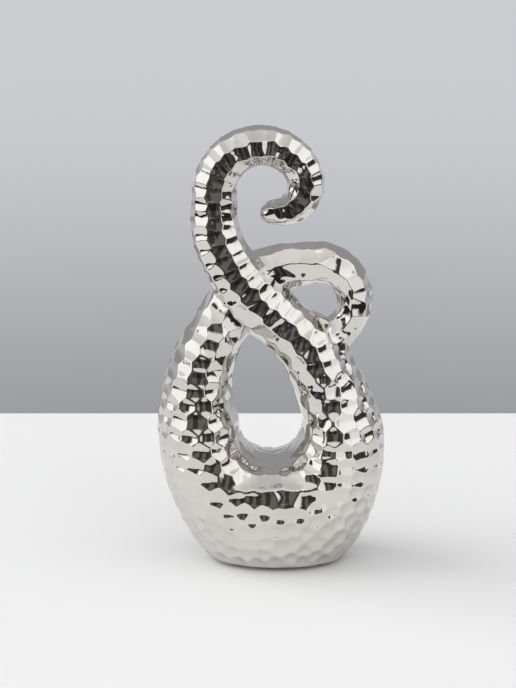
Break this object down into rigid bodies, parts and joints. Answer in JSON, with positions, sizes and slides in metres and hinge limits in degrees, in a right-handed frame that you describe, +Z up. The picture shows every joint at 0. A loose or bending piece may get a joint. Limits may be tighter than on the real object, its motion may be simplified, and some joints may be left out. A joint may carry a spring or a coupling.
{
  "type": "tentacle sculpture",
  "caption": "Hammered silver-plated ceramic ornament: a tentacle wound into a figure of eight round a teardrop opening, with a large curl on top, a small side loop and a flat padded foot.",
  "frame": {"origin": "on the surface it stands on, under the middle of its overall box", "axes": "+X to the right seen from the front, +Y from the front to the back, +Z up"},
  "size_m": [0.1283, 0.0718, 0.2497],
  "materials": {
    "plated_ceramic": "mirror-bright silver plating over hammered glazed ceramic",
    "bisque": "matt unglazed fired clay",
    "felt": "pressed dark felt"
  },
  "bodies": {
    "root": {"lower_body": "plated_ceramic", "front_tentacle": "plated_ceramic", "rear_tentacle": "plated_ceramic", "base_disc": "bisque", "felt_pad_front_left": "felt", "felt_pad_front_right": "felt", "felt_pad_rear_left": "felt", "felt_pad_rear_right": "felt"}
  },
  "joints": []
}
